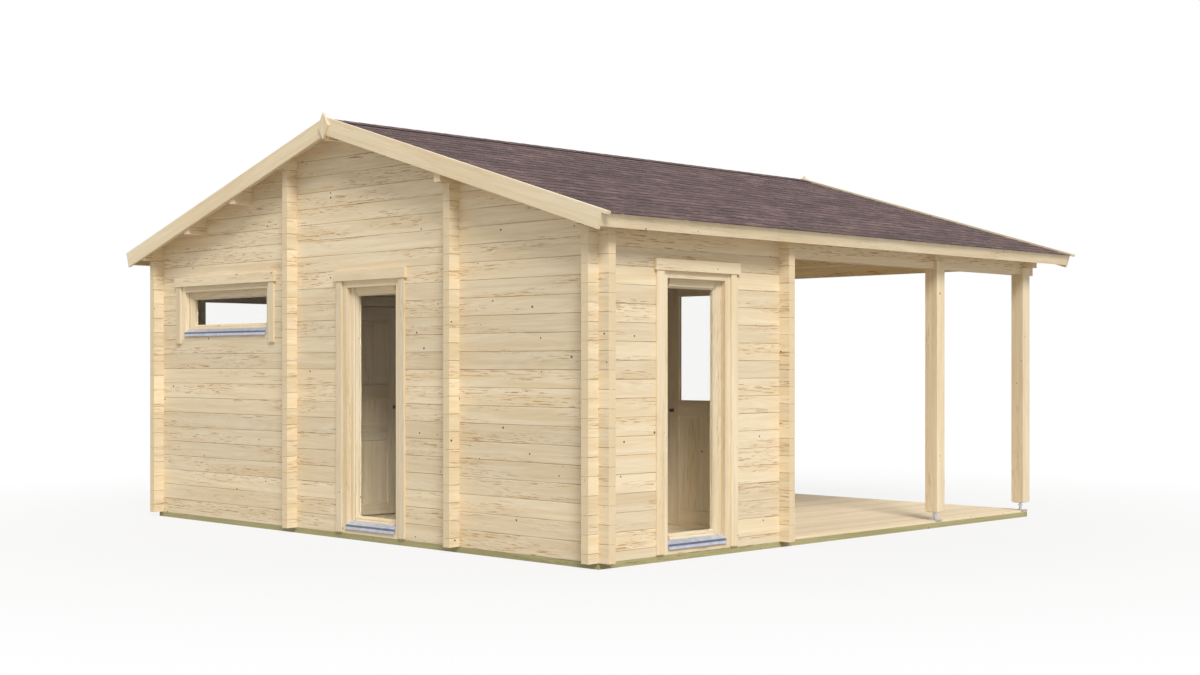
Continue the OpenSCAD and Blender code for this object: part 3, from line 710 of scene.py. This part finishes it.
def build_casings():
    """Side boards under a longer, thicker head board, round windows and doors."""
    casings = Pieces(53)
    for place, w, h in windows:
        tall = h > w
        foot = 0.010 if tall else -0.030
        clear = w / 2 - COVER
        for side in (-1, 1):
            a, b = sorted((side * clear, side * (clear + CASING_W)))
            casings.box((a, -CASING_T, foot), (b, 0, h - COVER), Z, place)
        reach = clear + CASING_W + EAR
        casings.box((-reach, -HEAD_T, h - COVER), (reach, 0, h - COVER + HEAD_H), X, place)
    for place, width, top, stopped in doorways:
        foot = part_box("terrace_deck")[1].z - BASE_Z
        for a in (-GAP - CASING_W, width + LOCK_GAP):
            casings.box((a, -CASING_T, foot), (a + CASING_W, 0, top), Z, place)
        casings.box((-GAP - CASING_W - EAR, -HEAD_T, top),
                    (width + LOCK_GAP + CASING_W + EAR, 0, top + HEAD_H), X, place)
    casings.make("casing_boards", log_boards, "cabin", "planed_spruce", ("opening_casings",), bevel=0.003)


SHEET_T = 0.003
TRAY_BACK = 0.102
TRAY_FOOT = 0.038
TRAY_OUT = 0.016


def build_sills():
    """A sloping tray, a groove and a lip, folded from one sheet; the groove is darkened by a strip of painted
    shade.
    """
    trays, groove_shades = Pieces(54), Pieces(55)
    back, foot, out = TRAY_BACK, TRAY_FOOT, TRAY_OUT
    for place, w, h in windows:
        half = w / 2 - FRAME_W
        tray = [(SASH_IN, back), (-0.003, 0.0757), (-0.003, 0.0700), (-0.011, 0.0640), (-0.011, 0.0600),
                (-out, 0.0585), (-out, foot), (-out + SHEET_T, foot), (-out + SHEET_T, 0.0560),
                (-0.001, 0.0580), (-0.001, FRAME_W), (SASH_IN, FRAME_W)]
        trays.prism([(-half, y, z) for y, z in tray], (2 * half, 0, 0), X, place)
        inner = half - 0.001
        # A thin strip over the groove's faces, coloured dark as painted shade in the groove.
        strip = [(-0.0032, 0.0752), (-0.0032, 0.0704), (-0.0112, 0.0644),
                 (-0.0112, 0.0605), (-0.0128, 0.0605), (-0.0128, 0.0660)]
        groove_shades.prism([(-inner, y, z) for y, z in strip], (2 * inner, 0, 0), X, place)
    trays.make("sill_trays", aluminium, "cabin", "sill_aluminium", ("window_sills",), bevel=0.0006)
    groove_shades.make("sill_groove_shades", groove_shade, "cabin", "sill_aluminium", bevel=0)


# ---------- Doors ----------


def door_places():
    """(place at the hinge edge, leaf width, head height, has a stop) of each doorway."""
    found = []
    for lo, hi in solids("door_frames"):
        size = hi - lo
        if size.x < size.y:
            place, span = facing((hi.x, lo.y + JAMB + GAP, lo.z), -X), size.y
        else:
            place, span = facing((lo.x + JAMB + GAP, lo.y, lo.z), Y), size.x
        stopped = size.x < size.y or lo.y > 0
        found.append((place, span - 2 * JAMB - GAP - LOCK_GAP, size.z - JAMB, stopped))
    return found


FRAME_BACK = 0.080
doorways = door_places()


def build_door_frames():
    frames = Pieces(61)
    for place, width, top, stopped in doorways:
        stop = STOP if stopped else 0.0
        for side, inner in ((-1, -GAP), (1, width + LOCK_GAP)):
            outline = [(inner + side * JAMB, 0), (inner, 0), (inner, STOP_IN), (inner - side * stop, STOP_IN),
                       (inner - side * stop, FRAME_BACK), (inner + side * JAMB, FRAME_BACK)]
            frames.prism([(x, y, 0) for x, y in outline], (0, 0, top + JAMB), Z, place)
        span = width + GAP + LOCK_GAP
        head = [(0, top), (STOP_IN, top), (STOP_IN, top - stop), (FRAME_BACK, top - stop),
                (FRAME_BACK, top + JAMB), (0, top + JAMB)]
        if not stopped:
            head = [(0, top), (FRAME_BACK, top), (FRAME_BACK, top + JAMB), (0, top + JAMB)]
        frames.prism([(-GAP, y, z) for y, z in head], (span, 0, 0), X, place)
        sill = [(0, 0), (FRAME_BACK, 0), (FRAME_BACK, SILL_H), (0.012, SILL_H), (0, SILL_H - 0.004)]
        frames.prism([(-GAP, y, z) for y, z in sill], (span, 0, 0), X, place)
    frames.make("door_frame_members", log_boards, "cabin", "planed_spruce", ("door_frames",), bevel=0.002)


def build_leaf(name, node, body, place, panels, light=None, seed=71):
    """A framed leaf: two stiles, rails between them, and sunk panels with a moulding round each."""
    lo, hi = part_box(node)
    height = hi.z - lo.z
    size = hi - lo
    width, thick = max(size.x, size.y), min(size.x, size.y)
    local = place @ Matrix.Translation((0, -LEAF_OUT, lo.z - BASE_Z))
    leaf = Pieces(seed)
    for x in (0, width - STILE):
        leaf.box((x, 0, 0), (x + STILE, thick, height), Z, local)
    holes = sorted(panels + ([light] if light else []))
    edges = [0] + [z for hole in holes for z in hole] + [height]
    for z0, z1 in zip(edges[0::2], edges[1::2]):
        leaf.box((STILE, 0, z0), (width - STILE, thick, z1), X, local)
    for z0, z1 in panels:
        leaf.box((STILE, PANEL_IN, z0), (width - STILE, thick - PANEL_IN, z1), Z, local)
    for z0, z1 in holes:
        deep = PANEL_IN if (z0, z1) in panels else 0.0125
        for face, sign in ((0, 1), (thick, -1)):
            y0, y1 = face + sign * 0.0015, face + sign * deep
            corners = [(STILE, z0), (width - STILE, z0), (width - STILE, z1), (STILE, z1)]
            inward = [(1, 1), (-1, 1), (-1, -1), (1, -1)]
            for i in range(4):
                (xa, za), (xb, zb) = corners[i], corners[(i + 1) % 4]
                (ia, ja), (ib, jb) = inward[i], inward[(i + 1) % 4]

                def section(x, z, a, b):
                    return [(x, y0, z), (x + a * BEAD * 0.4, y0, z + b * BEAD * 0.4),
                            (x + a * BEAD, y1, z + b * BEAD), (x, y1, z)]

                grain = X if i % 2 == 0 else Z
                leaf.loft(section(xa, za, ia, ja), section(xb, zb, ib, jb), grain, local)
    leaf.make(name, log_boards, body, "planed_spruce", (node,), bevel=0.0015)


ENTRANCE_PANEL = (0.115, 0.897)
ENTRANCE_LIGHT = (1.016, 1.890)
BEAD = 0.011
SAUNA_PANELS = [(0.090, 0.660), (0.788, 1.022), (1.141, 1.690)]

build_window_frames()
build_sashes()
build_casings()
build_sills()
build_door_frames()
entrance_place = next(p for p, w, t, s in doorways if abs(p.col[1].x) > 0.5)
sauna_place = next(p for p, w, t, s in doorways if s and abs(p.col[1].x) < 0.5)
build_leaf("entrance_joinery", "entrance_leaf", "entrance_door", entrance_place, [ENTRANCE_PANEL],
           ENTRANCE_LIGHT)
build_leaf("sauna_joinery", "sauna_leaf", "sauna_door", sauna_place, SAUNA_PANELS, seed=72)

# ---------- Stage, light and camera ----------

STAGE_HALF = 60.0
STAGE_COLOUR = (0.46, 0.44, 0.41)
WHITE_FROM = 3.5
WHITE_BY = 9.0
WHITE_SHARE = 0.86
WHITE = (1, 1, 1, 1)
SKY_COLOUR = (1.0, 0.985, 0.96, 1.0)
SKY_STRENGTH = 0.56
SUN_STRENGTH = 2.45
SUN_SPREAD = math.radians(20)
SUN_COLOUR = (1.0, 0.98, 0.95)
SUN_TRAVEL = Vector((0.517, 0.856, -math.tan(math.radians(42))))
SENSOR_MM = 36
LENS_MM = 49.73
LENS_SHIFT = 0.0225
CAMERA_AT = (-11.066, -11.021, 1.4235)
CAMERA_HEADING = math.radians(-45.1714)


def build_stage():
    """A wide floor that turns into the white backdrop away from the cabin."""
    mesh = bpy.data.meshes.new("stage_floor")
    half = STAGE_HALF
    corners = [(-half, -half, 0), (half, -half, 0), (half, half, 0), (-half, half, 0)]
    mesh.from_pydata(corners, [], [(0, 1, 2, 3)])
    floor = bpy.data.objects.new("stage_floor", mesh)
    bpy.context.scene.collection.objects.link(floor)
    g = Graph("stage floor")
    g.surface(STAGE_COLOUR, 0.9)
    at = g.node("TexCoord").outputs["Object"]
    away = g.node("VectorMath", {0: at}, operation="LENGTH").outputs["Value"]
    rays = g.node("LightPath").outputs
    through = g.math("MAXIMUM", rays["Is Glossy Ray"], rays["Is Transmission Ray"])
    seen = g.math("MAXIMUM", rays["Is Camera Ray"], through)
    white = g.node("Emission", {"Color": WHITE, "Strength": 1.0})
    share = g.math("MULTIPLY", seen, g.step(away, WHITE_FROM, WHITE_BY, WHITE_SHARE, 1.0))
    blend = g.node("MixShader", {0: share, 1: g.shader.outputs[0], 2: white.outputs[0]})
    g.feed(g.output.inputs["Surface"], blend.outputs[0])
    mesh.materials.append(g.material)


def build_light():
    world = bpy.data.worlds.new("studio")
    bpy.context.scene.world = world
    world.use_nodes = True
    tree = world.node_tree
    back = tree.nodes["Background"]
    back.inputs["Color"].default_value = SKY_COLOUR
    back.inputs["Strength"].default_value = SKY_STRENGTH
    white = tree.nodes.new("ShaderNodeBackground")
    white.inputs["Color"].default_value = WHITE
    white.inputs["Strength"].default_value = 1.0
    rays = tree.nodes.new("ShaderNodeLightPath")
    first = tree.nodes.new("ShaderNodeMath")
    first.operation = "MAXIMUM"
    second = tree.nodes.new("ShaderNodeMath")
    second.operation = "MAXIMUM"
    blend = tree.nodes.new("ShaderNodeMixShader")
    tree.links.new(rays.outputs["Is Camera Ray"], first.inputs[0])
    tree.links.new(rays.outputs["Is Glossy Ray"], first.inputs[1])
    tree.links.new(first.outputs[0], second.inputs[0])
    tree.links.new(rays.outputs["Is Transmission Ray"], second.inputs[1])
    tree.links.new(second.outputs[0], blend.inputs[0])
    tree.links.new(back.outputs[0], blend.inputs[1])
    tree.links.new(white.outputs[0], blend.inputs[2])
    tree.links.new(blend.outputs[0], tree.nodes["World Output"].inputs["Surface"])
    sun = bpy.data.lights.new("key", "SUN")
    sun.energy = SUN_STRENGTH
    sun.angle = SUN_SPREAD
    sun.color = SUN_COLOUR
    key = bpy.data.objects.new("key", sun)
    bpy.context.scene.collection.objects.link(key)
    key.rotation_mode = "QUATERNION"
    key.rotation_quaternion = SUN_TRAVEL.to_track_quat("-Z", "Y")


def build_camera():
    """At eye height off the near corner, level, with a little shift to frame the cabin."""
    data = bpy.data.cameras.new("camera")
    data.sensor_width = SENSOR_MM
    data.lens = LENS_MM
    data.shift_y = LENS_SHIFT
    camera = bpy.data.objects.new("camera", data)
    bpy.context.scene.collection.objects.link(camera)
    camera.location = CAMERA_AT
    camera.rotation_euler = (math.radians(90), 0, CAMERA_HEADING)
    bpy.context.scene.camera = camera


build_stage()
build_light()
build_camera()
bpy.context.scene.view_settings.view_transform = "Standard"
